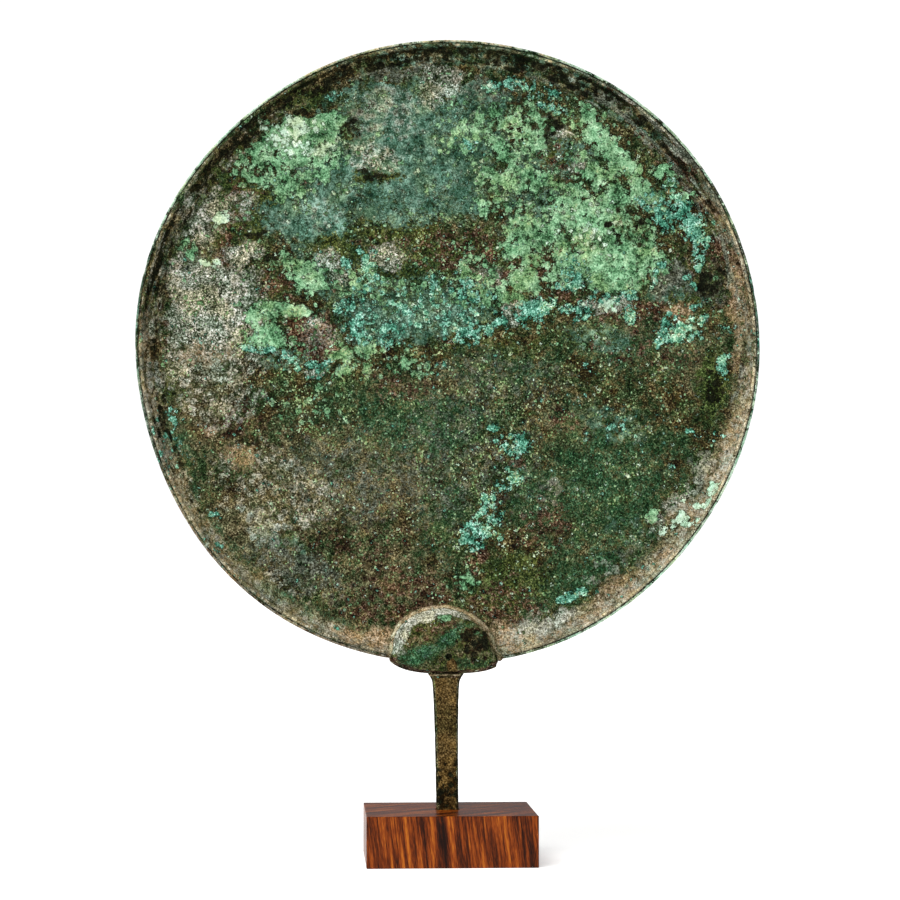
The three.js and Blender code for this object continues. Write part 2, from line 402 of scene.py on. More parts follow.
bpy.ops.mesh.primitive_plane_add(size=MM, location=(0, 0, TANG_FOOT_Z * MM))
tang = bpy.context.object
bpy.ops.object.transform_apply(location=True)
bpy.ops.object.mode_set(mode="EDIT")
bpy.ops.transform.resize(value=(TANG_WIDTH_FOOT, TANG_THICKNESS, 1))
bpy.ops.mesh.bevel(offset=TANG_CHAMFER * MM, affect="VERTICES")
bpy.ops.mesh.select_all(action="SELECT")
bpy.ops.mesh.subdivide(number_cuts=5)
bpy.ops.mesh.select_mode(type="FACE")
bpy.ops.mesh.select_all(action="SELECT")
for _ in range(TANG_STEPS):
    bpy.ops.mesh.extrude_region_move(
        TRANSFORM_OT_translate={"value": (0, 0, (TANG_TOP_Z - TANG_FOOT_Z) * MM / TANG_STEPS)}
    )
bpy.ops.mesh.select_all(action="SELECT")
bpy.ops.mesh.normals_make_consistent(inside=False)
bpy.ops.object.mode_set(mode="OBJECT")
u, v, depth = places_of(tang.data)
z = v + DISC_CENTRE_Z
share = 1 - (1 - np.clip((z - TANG_FOOT_Z) / (TANG_TOP_Z - TANG_FOOT_Z), 0, 1)) ** 1.7
z = TANG_FOOT_Z + (TANG_TOP_Z - TANG_FOOT_Z) * share
ridge = COLLAR_RIDGE[2] * np.exp(-((z - COLLAR_RIDGE[0]) / COLLAR_RIDGE[1]) ** 2)
u = u / TANG_WIDTH_FOOT * (tang_width_at(z) + ridge) + tang_centre_at(z)
depth = depth / TANG_THICKNESS * (tang_thickness_at(z) + 2 * ridge)
put_places(tang.data, u, z - DISC_CENTRE_Z, depth)

bpy.context.view_layer.objects.active = casting
join = casting.modifiers.new("tang", "BOOLEAN")
join.operation = "UNION"
join.solver = "MANIFOLD"
join.object = tang
bpy.ops.object.modifier_apply(modifier=join.name)
bpy.data.objects.remove(tang)

# ----------------------------------------
# The patina: centuries in the ground turned the bronze's skin into minerals. Each mineral has
# its patches: u, v, half-length and half-width in millimetres, turn in degrees,
# and how closely it covers the metal there, from 0 to 1.
# ----------------------------------------
MALACHITE = (
    (-58, 77, 15, 6, -10, 1.0), (-44, 78, 8, 5, 10, 0.9), (-67, 72, 7, 5, -30, 0.85),
    (-52, 70, 16, 5, -5, 0.88), (-64, 61, 14, 5, -8, 0.55), (-56, 56, 7, 4, 0, 0.7),
    (-46, 63, 5, 5, 0, 0.7), (-75, 66, 4, 3, 0, 0.7), (-93, 37, 5, 5, 0, 0.6), (-52, 27, 8, 6, -30, 0.75),
    (-60, 14, 12, 3, 6, 0.9), (-66, 5, 7, 5, -10, 0.85), (-54, 3, 5, 3, 0, 0.35),
    (-28, 22, 16, 6, -12, 0.5), (-4, 22, 14, 5, 0, 0.48), (8, 75, 12, 11, 0, 0.48),
    (27, 74, 9, 6, 20, 0.62), (22, 84, 14, 5, 0, 0.5), (30, 60, 12, 7, 0, 0.58), (14, 60, 8, 6, 0, 0.5),
    (57, 73, 19, 5, -47, 0.76), (46, 83, 9, 5, -38, 0.36), (72, 56, 10, 4, -50, 0.8),
    (50, 46, 17, 11, -10, 0.92), (60, 34, 12, 8, 0, 0.85), (56, 60, 14, 6, -40, 0.62),
    (30, 42, 12, 9, 0, 0.72), (27, 27, 6, 5, 0, 0.8), (12, 28, 8, 5, 0, 0.5), (45, 28, 12, 6, 0, 0.85),
    (60, 27, 9, 6, -10, 0.9), (68, 38, 8, 8, 0, 0.7), (75, 30, 5, 6, 0, 0.6), (77, 64, 3, 2.6, 0, 1.0),
    (81.5, 60, 2.2, 1.8, 0, 0.95), (8, 20, 13, 5, 0, 0.55), (24, 19, 7, 3, 0, 0.65),
    (-30, 0, 14, 5, 8, 0.55), (-15, -6, 12, 4, 10, 0.42), (-38, -8, 8, 3, 0, 0.5),
    (7, -80, 5, 4.5, 0, 0.6), (74, -57, 3.2, 3, 0, 0.95), (-102, -10, 2, 9, 0, 0.5),
    (-50, -20, 14, 9, 0, 0.3), (15, 52, 6, 4, 0, 0.5), (88, 55, 4, 3, 0, 0.7),
)
TURQUOISE = (
    (-40, 90.5, 4, 3, 0, 0.8), (22, 96, 9, 3, 6, 0.7), (6, 72, 4, 3, 0, 0.6), (34, 90, 9, 4, -25, 0.45),
    (-14, 12, 24, 9, 6, 0.44), (-32, 12, 9, 9, 0, 0.5), (-2, 20, 16, 7, 0, 0.38), (4, 11, 10, 5, 0, 0.55),
    (-30, 28, 9, 6, -20, 0.45), (-56, -2, 7, 3, 0, 0.55), (-69, 1, 6, 2.5, 0, 0.75),
    (-48, -7, 11, 4, 0, 0.5), (78, 50, 8, 8, 0, 0.6), (87, 42, 6, 5, -30, 0.9), (89, 34, 3, 4, 0, 0.75),
    (91, 47, 2.5, 2.5, 0, 0.9), (94, 44, 3, 2.5, 0, 0.85), (83, 54, 4, 6, 20, 0.7),
    (31, 15, 7, 4.5, 0, 0.8), (20, 12, 5, 3, 0, 0.6), (50.5, 14, 4, 3, 0, 0.75),
    (63, 13, 4, 2.5, 20, 0.9), (42, 15, 4, 3, 0, 0.6), (44, 26, 6, 5, 0, 0.6), (60, 20, 10, 3, 0, 0.6),
    (14, 7, 5, 3, 20, 0.75), (6, 4, 6, 3, -20, 0.75), (82, 8, 7, 5, 0, 0.76), (77, 3, 5, 2.5, 20, 0.85),
    (90, 12, 4, 5, 0, 0.5), (86, 25, 2.2, 2.2, 0, 0.9), (76, 29, 3.5, 1.8, 20, 0.75),
    (73, 25, 3, 2.5, 40, 0.75), (102, 7, 5, 3, 0, 0.7), (97, -3, 3.5, 5, 0, 0.62),
    (95, -29, 3, 1.6, 0, 0.8), (86, -29, 2, 1.6, 0, 0.7), (18.5, -28.5, 4, 2.5, 0, 0.6),
    (23.5, -33.5, 5, 4, 0, 0.8), (20, -45, 7, 3.4, 12, 0.7), (11.5, -54, 3, 5, -20, 0.7),
    (18, -57.5, 5, 2.8, 15, 0.7), (8, -64.5, 5, 5.5, 0, 0.74), (16.5, -66, 3, 3.6, 0, 0.56),
    (45, -85, 5, 2.8, 15, 0.7), (40, -88.5, 3, 1.6, 0, 0.7), (60, -27, 13, 8, 0, 0.2),
    (-101.5, -26, 4, 7, 0, 0.7), (-99, -38, 3, 6, 0, 0.6), (-84, -58, 3.2, 2.8, 0, 0.75),
    (-82, -70, 3.5, 2.6, -30, 0.7),
)
TEAL_SKIN = (
    (-14, 72, 34, 22, 0, 0.9), (-54, 48, 22, 11, -25, 0.9), (-40, 58, 18, 10, 0, 0.9),
    (10, 90, 14, 8, 0, 0.7), (2, 56, 14, 9, 0, 0.75), (25, 58, 9, 7, 0, 0.55), (-20, 50, 22, 8, 0, 0.7),
    (53, 4, 13, 5, 0, 0.6), (79, 23, 8, 6, 0, 0.8), (38, 68, 16, 9, 0, 0.66), (30, 52, 13, 14, 0, 0.6),
    (-30, 92, 16, 8, 15, 0.6), (-46, 26, 12, 8, -30, 0.7), (-20, 22, 30, 12, 0, 0.5),
    (-14, 12, 28, 9, 6, 0.8), (-57, -3, 16, 5, 0, 0.45), (66, -63, 12, 7, 0, 0.2),
    (-60, -66, 14, 6, -20, 0.4), (58, -26, 14, 8, 0, 0.4),
)
GREY_GRAINS = (
    (-3, 95, 9, 7, 0, 0.62), (-26, 69, 9, 5, 0, 0.4), (-88, 49, 10, 9, 0, 0.6),
    (-71, 35, 6, 4.5, 0, 0.85), (-86, 24, 15, 10, 0, 0.7), (-82, 10, 16, 14, 0, 0.75),
    (-74, 18, 8, 10, 0, 0.7), (-86, -6, 20, 9, 0, 0.42), (-80, -18, 16, 8, 0, 0.3),
    (-40, 28, 5, 3.5, 0, 0.8), (-22, 33, 6, 4, 0, 0.85), (-47, 11, 4, 3, 0, 0.8), (24, 14, 5, 4, 0, 0.65),
    (15, 27, 4.5, 3.5, 0, 0.7), (-46, 4, 8, 6, -20, 0.3), (40.5, 77, 3, 2, 0, 0.8),
    (46.6, 64, 3.5, 2.5, 0, 0.8), (57, 17, 7, 3.5, 0, 0.75), (-38, -42, 26, 20, 0, 0.1),
    (-58, -50, 20, 16, -30, 0.2), (-84, 24, 12, 10, 0, 0.5), (-74, 50, 6, 5, 0, 0.4),
    (-62, -86, 16, 6, -35, 0.35), (-47, -8, 5, 2.5, 0, 0.8), (56, -76, 12, 9, 30, 0.1),
    (33, -95, 8, 4, 0, 0.25), (83, -54, 6, 5, 0, 0.25), (-68, -46, 16, 16, 0, 0.2),
    (-42, 31, 5, 4, 0, 0.6),
)
CUPRITE = (
    (-64, 61, 16, 6, -8, 0.45), (-76, 50, 5, 9, 0, 0.55), (-78, 38, 3, 9, 0, 0.6),
    (-103, 8, 7, 14, 0, 0.4), (-62, 22, 9, 5, 0, 0.5), (-49, 4, 10, 8, -20, 1.0), (-42, 8, 3, 7, 0, 0.85),
    (-73, 8, 4, 4, 0, 0.6), (-40, 20, 2, 6, 25, 0.6), (-3, 4, 7, 3, 0, 0.45), (4, 35, 18, 8, 0, 0.6),
    (-22, 36, 12, 5, 0, 0.4), (26, 30, 18, 4, 0, 0.55), (35, 33, 6, 4, 0, 0.6), (42, 66, 12, 8, 0, 0.42),
    (66, 42, 6, 9, 20, 0.45), (84, 62, 6, 14, 40, 0.6), (92, 30, 9, 14, 10, 0.65),
    (98, 38, 6, 22, 12, 0.6), (66, 14, 14, 6, 0, 0.65), (40, 20, 16, 5, 0, 0.5), (-75, -24, 9, 6, 0, 0.6),
    (-19, -88, 24, 11, 0, 0.5), (18, -90, 16, 10, 0, 0.42), (24, -39.5, 5, 3, 0, 0.95),
    (18, -51, 4, 3.2, 0, 0.9), (8.5, -73, 4.5, 3.5, 0, 0.9), (41, -26, 6, 5, 0, 0.5),
    (33, -62, 10, 12, 0, 0.42), (-16, -14, 14, 6, 0, 0.4), (-28, -66, 26, 10, 0, 0.35),
    (70, 0, 20, 6, 0, 0.4), (-60, -2, 10, 4, 0, 0.5),
)
OLIVE = (
    (-66, 58, 17, 8, -6, 0.95), (-74, 42, 10, 8, 0, 0.7), (-80, 60, 8, 12, -35, 0.6),
    (-36, 78, 4, 8, 0, 0.6), (-52, 88, 14, 5, 25, 0.6), (-18, 34, 26, 12, 0, 0.78),
    (-40, 36, 8, 7, 0, 0.85), (-64, 23, 10, 5, 0, 0.6), (12, 34, 18, 12, 0, 0.66),
    (40, 67, 16, 9, 0, 0.65), (20, 66, 10, 8, 0, 0.5), (36, 80, 6, 8, 0, 0.6), (52, 56, 10, 5, 0, 0.5),
    (60, 68, 5, 5, 0, 0.5), (86, 24, 14, 12, 0, 0.5), (-88, 34, 10, 6, 0, 0.55),
    (-98, -14, 6, 14, 0, 0.5), (20, 4, 60, 6, 0, 0.35), (-78, 82, 20, 5, 42, 0.4),
    (20, -82, 15, 9, 0, 0.72), (94, -12, 6, 12, 0, 0.9), (-25, 63, 7, 3, 0, 0.9),
)
EARTH = (
    (21, -101, 6, 4.5, 0, 1.0), (-30, -101, 14, 3, -16, 1.0), (-21, -101.5, 4, 3.5, 0, 1.0),
    (18, -99, 4, 4, 0, 0.8), (-83, -27, 3, 2.5, 0, 0.6), (-74, -38, 5, 4.5, 0, 0.6),
    (-95, -48, 3.5, 9, 25, 0.6), (-88, -60, 6, 4, -50, 0.55), (-40, -99, 12, 2.5, -20, 0.5),
    (-24, -101, 9, 4, 0, 0.8), (-66, -82, 16, 2, -48, 0.3), (83, 14, 6, 2.8, 0, 0.7),
    (103, 18, 3, 26, 0, 0.5), (88, -52, 12, 3, 55, 0.6), (60, -84, 18, 3, 38, 0.5),
    (25, -103, 12, 3, 12, 0.6), (-85, -2, 10, 6, 0, 0.4),
)
PALE_SCALE = (
    (-83.5, 32, 4.5, 3.2, 0, 0.6), (-80, 46, 1.5, 1.5, 0, 0.9), (88, -53, 6, 1.6, 20, 0.6),
    (94, -47, 3.2, 3, 0, 0.8), (84.5, -63, 4, 3, 0, 0.7), (77.5, -63, 3, 2, 0, 0.6),
    (57, 17, 6, 3, 0, 0.5), (20, 97, 6, 2, 8, 0.4), (-58, 78, 12, 4, -10, 0.56),
    (-50, 72, 12, 4, 0, 0.36), (50, 44, 14, 10, 0, 0.18),
)
UMBER = (
    (-54, -46, 25, 20, 10, 0.66), (-26, -48, 20, 18, 0, 0.6), (-88, -12, 14, 26, 0, 0.7),
    (-26, -80, 26, 12, 0, 0.45), (42, -26, 14, 10, 0, 0.35), (-72, -62, 16, 11, -40, 0.9),
    (-30, -56, 18, 12, 0, 0.4), (-2, -12, 20, 6, 0, 0.4), (-86, 30, 12, 18, 0, 0.5),
    (60, 8, 16, 6, 0, 0.45), (10, -88, 20, 8, 0, 0.15), (88, 0, 10, 16, 0, 0.4), (24, 42, 30, 8, 0, 0.3),
)
VERDURE = (
    (-8, -26, 24, 13, 0, 0.6), (56, -48, 26, 24, 0, 0.62), (-97, -36, 6, 20, 12, 0.5),
    (46, -80, 26, 9, 25, 0.6), (0, -56, 12, 22, 0, 0.45), (64, 2, 26, 9, 0, 0.5),
    (-34, -20, 22, 9, 0, 0.45), (-62, -67, 8, 3, -25, 0.7), (-20, 32, 24, 9, 0, 0.6),
    (20, -6, 24, 8, 0, 0.45), (-94, 60, 8, 12, -30, 0.3), (30, -52, 8, 20, 10, 0.5),
)
ASH = (
    (79, 25, 9, 6.5, 0, 0.85), (93, 24, 6, 9, 0, 0.6), (-34, 79, 5, 8, 0, 0.6), (14, 94, 10, 6, 0, 0.6),
    (36, 79, 5, 7, 0, 0.6), (-88, 40, 8, 12, 0, 0.4), (-18, 98, 10, 4, 6, 0.6), (66, -70, 8, 6, 30, 0.4),
    (-36, -46, 28, 18, 0, 0.45), (6, -40, 34, 26, 0, 0.42), (20, -10, 26, 12, 0, 0.4),
    (-54, -77, 20, 9, -28, 0.62), (-24, 32, 5, 4, 0, 0.6),
)
CHALK = (
    (-44, 48, 14, 6, -28, 0.16), (-60, 44, 8, 5, 0, 0.16), (-22, 84, 12, 8, 0, 0.3),
    (-90, 20, 6, 8, 0, 0.25), (80, -59, 9, 4, 38, 0.36), (33, -97, 14, 3, 18, 0.75),
    (-66, -62, 8, 6, -30, 0.42), (88, -44, 8, 3, 60, 0.45), (56, -78, 8, 5, 30, 0.2),
    (-34, -46, 28, 20, 0, 0.1), (-78, -6, 8, 6, 0, 0.3), (36, -50, 4, 6, 0, 0.25),
)
DARK_PITS = (
    (-25, 63.5, 5.5, 1.8, -5, 0.6), (-35, 77, 4, 5, 0, 0.45), (-54, 83.5, 2.2, 1.3, 0, 0.7),
    (58.5, 42.3, 1.6, 1.4, 0, 1.0), (66, 44, 6, 9, 20, 0.35), (93, 26, 6, 6, 0, 0.4),
    (94, -13, 4, 8, 0, 0.42), (-68, 41, 5, 1.6, 0, 0.6), (-63, 31, 4, 3, 0, 0.45), (37, 80, 3, 5, 0, 0.4),
)
SPECKS = (
    (-50, -20, 20, 11, 0, 1.0), (-25, -4, 30, 8, 0, 0.8), (20, -16, 24, 10, 0, 0.8),
    (8, -40, 24, 18, 0, 0.9), (70, -10, 20, 14, 0, 0.6), (20, 40, 40, 16, 0, 0.7),
    (-40, -70, 24, 12, 0, 0.4), (0, 0, 105, 105, 0, 0.3),
)


def cover_of(patches, u, v, soft=0.5):
    """How closely a mineral covers each place."""
    cover = np.zeros_like(u)
    for pu, pv, length, width, turn, amount in patches:
        c, s = math.cos(math.radians(turn)), math.sin(math.radians(turn))
        du, dv = u - pu, v - pv
        out = np.hypot((du * c + dv * s) / length, (dv * c - du * s) / width)
        cover = np.maximum(cover, amount * (1 - smooth_step(1 - soft, 1 + soft, out)))
    return cover


# Blender starts its noise from the clock; this gives the same mirror on every run.
NOISE_SEED = 7
noise.seed_set(NOISE_SEED)


def drift(u, v, depth, size, shift):
    """A smooth random direction at each place, changing over about size millimetres."""
    return np.array([
        noise.noise_vector(Vector((a / size + shift, b / size, c / size)))
        for a, b, c in zip(u, v, depth)
    ])


u, v, depth = places_of(casting.data)
wide = drift(u, v, depth, 13.0, 3.1)
fine = drift(u, v, depth, 4.2, 7.7)
grit = drift(u, v, depth, 1.9, 11.3)
pu = u + 4.2 * wide[:, 0] + 1.9 * fine[:, 0]
pv = v + 4.2 * wide[:, 1] + 1.9 * fine[:, 1]
radius, angle = np.hypot(u, v), np.arctan2(v, u)
inner = radius * DISC_RADIUS / disc_radius_at(angle)  # as if the disc were truly round
# Streaks that run along the rim: the noise is drawn out to 14 millimetres for each radian.
lined = drift(radius, 14 * np.arctan2(v, np.abs(u)), 30 * np.sign(u), 1.5, 5.5)
z = v + DISC_CENTRE_Z  # height above the table
tang_part = smooth_step(-113.5, -114.5, v) * smooth_step(12, 9, np.abs(u))
behind = (1 - smooth_step(-0.6, 0.4, depth - floor_at(inner) + 0.5)) * (1 - tang_part)
face = (1 - behind) * (1 - tang_part)
share, boss_angle = boss_share(u, v)
on_boss = smooth_step(1.06, 0.96, share) * face
on_face = face * (1 - on_boss)
on_cove = smooth_step(COVE_START - 1, COVE_START + 3, inner) * on_face
on_crest = smooth_step(0.9, 0.3, np.abs(inner - CREST_MIDDLE)) * on_face
on_lip = smooth_step(109.05, 109.25, inner) * on_face
in_groove = smooth_step(0.22, 0.08, np.abs(inner - GROOVE_SHADE_LINE)) * on_face


def facing(direction, spread):
    """1 on the side of the disc towards a direction, in degrees, fading over spread."""
    off = np.abs((np.degrees(angle) - direction + 180) % 360 - 180)
    return 1 - smooth_step(0.4 * spread, spread, off)


low_right, low_left = facing(-48, 68), facing(-135, 70)

PATCHES = {
    "malachite": MALACHITE, "turquoise": TURQUOISE, "teal_skin": TEAL_SKIN, "cuprite": CUPRITE,
    "pale_scale_and_highlight": PALE_SCALE, "grey_grains": GREY_GRAINS, "earth": EARTH, "dark_pits_and_shade": DARK_PITS,
    "specks": SPECKS, "olive": OLIVE, "umber": UMBER, "verdure": VERDURE, "ash": ASH, "chalk": CHALK,
}
SOFTNESS = {"dark_pits_and_shade": 0.25, "umber": 0.9, "verdure": 0.9, "chalk": 0.8}
minerals = {
    name: cover_of(patches, pu, pv, SOFTNESS.get(name, 0.5)) * on_face
    for name, patches in PATCHES.items()
}
minerals["malachite"] += on_face * (0.05 + 0.08 * smooth_step(-12, 12, v))
minerals["golden_skin"] = tang_part
minerals["wear"] = np.zeros_like(u)


def lay(name, where, amount):
    """Raises a mineral's cover to amount, in the places where another value is 1."""
    minerals[name] = np.maximum(minerals[name], where * amount)


def clear(where, *names):
    for name in names:
        minerals[name] = minerals[name] * (1 - where)


# The rim: dark in the upper cove, dark patina with painted shade laid over it; earth and pale scale
# lower down; worn pale along its crest, which is also its painted highlight. Its outer lip is pale
# green, painted as its highlight and brightest along the top and upper left, and a dark line is
# painted in the groove as its shade.
near_wall = smooth_step(COVE_START + 0.5, COVE_START + 7.5, inner) * on_face
clear(on_cove * 0.7, "malachite", "turquoise", "teal_skin", "grey_grains", "specks")
lay("teal_skin", on_cove * facing(70, 60), 0.4)
lay("cuprite", on_cove * facing(40, 50), 0.4)
# Ash, umber and dark pits on the upper and left side of the cove are painted shade over its dark patina,
# where the wall is turned from the light.
lay("ash", on_cove * facing(90, 160) * smooth_step(-0.2, 0.2, lined[:, 0]), 0.85 - 0.5 * facing(120, 70))
lay("umber", on_cove * facing(100, 160) * smooth_step(-0.1, 0.25, lined[:, 1]), 0.8)
lay("dark_pits_and_shade", on_cove * facing(115, 130) * smooth_step(-0.15, 0.3, -lined[:, 0]), 0.5)
lay("dark_pits_and_shade", near_wall * facing(105, 70), 0.46)
lay("chalk", on_cove * facing(40, 45) * smooth_step(0.1, 0.4, lined[:, 2]), 0.45)
lay("grey_grains", on_cove * facing(170, 70) * smooth_step(-0.2, 0.3, lined[:, 2]), 0.35)
lay("earth", near_wall * low_right, 0.72)
lay("umber", on_cove * low_right, 0.7)
lay("chalk", near_wall * low_right, 0.45)
lay("earth", near_wall * facing(5, 45), 0.26)
lay("earth", near_wall * facing(-90, 40), 0.38)
lay("umber", on_cove * low_left, 0.6)
lay("verdure", on_cove * facing(-130, 40), 0.5)
lay("chalk", near_wall * low_left, 0.28)
lay("earth", near_wall * low_left, 0.48)
clear(cover_of(TEAL_SKIN, pu, pv) * 0.8, "specks")
clear(on_crest, "dark_pits_and_shade")
# The crest's pale wear is partly a painted highlight: stronger on the lower right, fainter on the upper
# left.
lay("wear", on_crest, 0.28 + 0.26 * facing(-20, 70) - 0.28 * facing(150, 75))
clear(in_groove, "malachite", "turquoise", "earth", "grey_grains", "wear", "pale_scale_and_highlight")
# A dark line is painted in the groove as its shade, a little darker towards the upper right.
lay("dark_pits_and_shade", in_groove, 0.42 + 0.1 * facing(60, 80))
clear(on_lip, "dark_pits_and_shade", "cuprite", "earth")
lay("teal_skin", on_lip, 0.8)
# Pale scale and pale wear on the lip are its painted highlight, brightest along the top and upper left, and
# pale again on the lower right.
lay("pale_scale_and_highlight", on_lip * facing(90, 95), 0.75)
lay("wear", on_lip * facing(95, 40), 0.55)
lay("pale_scale_and_highlight", on_lip * facing(130, 40), 1.0)
lay("turquoise", on_lip * facing(-30, 60), 0.4)
lip_left = on_lip * facing(-120, 50)
clear(lip_left, "teal_skin", "turquoise", "malachite", "pale_scale_and_highlight")
lay("earth", lip_left, 0.42)
lay("cuprite", lip_left, 1.0)
lay("pale_scale_and_highlight", on_lip * facing(-38, 48), 0.95)

# The boss: dark green on its face, pale along the upper left of its arch, partly as a painted
# highlight on the bevel that faces the light, and brown at its foot.
BOSS_STROKES = ((-10, -107, 9, 3.5, 20, 1.0), (0, -101, 9, 3, 35, 1.0), (8, -110, 8, 2, 0, 0.8))
BOSS_PATCHES = {
    "teal_skin": ((-8, -106, 6, 1.8, 20, 0.3), (1, -100.5, 6, 1.8, 35, 0.3)),
    "malachite": ((-1.5, -94.5, 3, 1.5, 0, 0.6), (10, -100.5, 2, 1.5, -40, 0.6)),
    "cuprite": ((-5, -98, 8, 3, 20, 0.62), (9, -103, 6, 7, 0, 0.58)),
    "dark_pits_and_shade": ((9, -103, 7, 6, 0, 0.4),),
}
BOSS_RUB = ((0.8, -111, 2.0, 3.2, 10, 0.9),)  # where the casting's skin shows below the pit
clear(on_boss, *minerals)
bevel = smooth_step(0.68, 0.88, share + 0.1 * fine[:, 0]) * on_boss
bevel_left_highlight = bevel * smooth_step(0.0, 0.6, np.cos(boss_angle - BEVEL_SIDE)) * smooth_step(-110, -104, v)
foot_line = smooth_step(0.95, 0.99, share) * smooth_step(1.08, 1.02, share) * face
foot_line = foot_line * smooth_step(-109, -106, v)
from_pit = np.hypot(u - CASTING_PIT[0], v - CASTING_PIT[1])
boss_right = smooth_step(4, 12, u - BOSS_CENTRE[0])
lay("olive", on_boss, 0.55)
lay("umber", on_boss, 0.6)
strokes = cover_of(BOSS_STROKES, u, v)
clear(strokes * on_boss * 0.8, "olive", "umber")
lay("verdure", strokes * on_boss, 0.8)
for name, patches in BOSS_PATCHES.items():
    lay(name, cover_of(patches, u, v) * on_boss, 1.0)
# The pale grey and chalk on the upper left of the bevel are partly its painted highlight, where it faces
# the light.
lay("grey_grains", bevel_left_highlight, 0.85)
lay("chalk", bevel_left_highlight * smooth_step(0.3, 0.9, np.cos(boss_angle - BEVEL_SIDE)), 0.8)
lay("earth", smooth_step(0.88, 0.95, share) * on_boss * boss_right * (v > -109), 0.8)
clear(foot_line, *minerals)
lay("earth", foot_line, 1.0)
lay("wear", foot_line, 0.5)
lay("cuprite", smooth_step(0.8, 0.95, share) * on_boss * (v < -108), 0.9)
lay("golden_skin", cover_of(BOSS_RUB, u, v) * on_boss, 1.0)
# The pit is painted near black, standing in for the shade inside the hole.
clear(smooth_step(1.4, 0.8, from_pit), *minerals)
lay("dark_pits_and_shade", smooth_step(1.3, 0.8, from_pit), 1.0)

# The tang: golden brown grains; dark along its edges, painted as the shade of its rounded corners,
# and darker towards the block.
tang_side = np.abs(u - tang_centre_at(z)) / (tang_width_at(z) / 2)
# Umber, olive and dark pits along the tang's edges are painted shade, where its corners turn from the
# light.
lay("umber", tang_part * smooth_step(0.7, 0.85, tang_side), 0.7)
lay("olive", tang_part * smooth_step(0.7, 0.85, tang_side), 0.3)
lay("dark_pits_and_shade", tang_part * smooth_step(0.84, 0.95, tang_side), 0.56)
tang_low = tang_part * smooth_step(-136, -158, v)
lay("umber", tang_low, 0.6)
lay("dark_pits_and_shade", tang_low, 0.46)
clear(0.25 * tang_low, "golden_skin")
clear(0.8 * tang_part * smooth_step(0.72, 0.88, tang_side), "golden_skin")

# A fine ridge runs along the collar, with a light line painted along it as its highlight and darker
# lines painted above and below it as shade, the upper one as the shadow under the boss. Each line
# has its mineral, v, half-width and amount.
COLLAR_LIGHT_AND_SHADE_LINES = (
    ("dark_pits_and_shade", -113.5, 0.35, 0.45), ("earth", -114.2, 0.4, 0.8), ("cuprite", -115.0, 0.4, 0.8),
)
for name, height, width, amount in COLLAR_LIGHT_AND_SHADE_LINES:
    line = smooth_step(width, 0.4 * width, np.abs(v - height)) * (np.abs(u) < 9)
    clear(line, "golden_skin", "olive")
    lay(name, line, amount)

# The back is plainer: a smooth dark green skin with some brown and malachite.
cloud = drift(u, v, depth, 34.0, 21.0)
clear(behind, *minerals)
lay("umber", behind * smooth_step(-0.3, 0.4, -cloud[:, 1]), 0.5)
lay("verdure", behind, 0.56)
lay("teal_skin", behind * smooth_step(-0.2, 0.6, cloud[:, 0]), 0.56)
lay("cuprite", behind * smooth_step(0.0, 0.6, cloud[:, 1]), 0.5)
lay("malachite", behind * smooth_step(0.1, 0.6, cloud[:, 2]), 0.42)
lay("earth", behind * smooth_step(104, 109, inner) * facing(-90, 60), 0.45)
lay("specks", behind, 0.3)

# Where a mineral is missing its cover is lowered further, so that no stray grain of it shows.
ABSENT = {"crusts": 0.16, "skins": 0.45, "marks": 0.45, "hazes": 0.45}
MAPS = {
    "crusts": ("malachite", "turquoise", "teal_skin", "pale_scale_and_highlight"),
    "skins": ("grey_grains", "cuprite", "earth", "golden_skin"),
    "marks": ("dark_pits_and_shade", "specks", "olive", "wear"),
    "hazes": ("umber", "verdure", "ash", "chalk"),
}
for map_name, names in MAPS.items():
    layer = casting.data.color_attributes.new(map_name, "FLOAT_COLOR", "POINT")
    values = np.stack([np.clip(minerals[n], 0, 1) for n in names], 1)
    values -= ABSENT[map_name] * smooth_step(0.2, 0, values)
    layer.data.foreach_set("color", values.astype(np.float32).ravel())

# The minerals stand up from the metal: malachite as a crust, turquoise as a thin scale. The
# edge is nicked instead, and the tang is left smooth where it enters the socket.
normals = np.empty(len(casting.data.vertices) * 3, np.float32)
casting.data.vertex_normals.foreach_get("vector", normals)
nx, ny, nz = normals.reshape(-1, 3).T.astype(float)
crust = smooth_step(0.35, 0.7, minerals["malachite"] + 0.35 * fine[:, 2] + 0.2 * grit[:, 2])
scale = smooth_step(0.35, 0.7, minerals["turquoise"] + 0.35 * fine[:, 0] + 0.2 * grit[:, 0])
lift = 0.26 * crust + 0.16 * scale - 0.3 * smooth_step(0.5, 0.9, minerals["dark_pits_and_shade"]) * (1 - in_groove)
lift += 0.10 * wide[:, 2] + 0.08 * fine[:, 1] + 0.05 * grit[:, 1]
edge = smooth_step(108.6, 109.6, inner) * (1 - on_boss)
nick = 0.18 * smooth_step(0.3, 0.6, fine[:, 2]) + 0.08 * smooth_step(0.1, 0.5, grit[:, 2])
lift = lift * (1 - edge) - edge * nick
by_socket = smooth_step(TANG_FOOT_Z + 16, TANG_FOOT_Z + 11, z)
lift = lift * (1 - 0.5 * tang_part) * (1 - by_socket)
put_places(casting.data, u + nx * lift, v + nz * lift, depth - ny * lift)

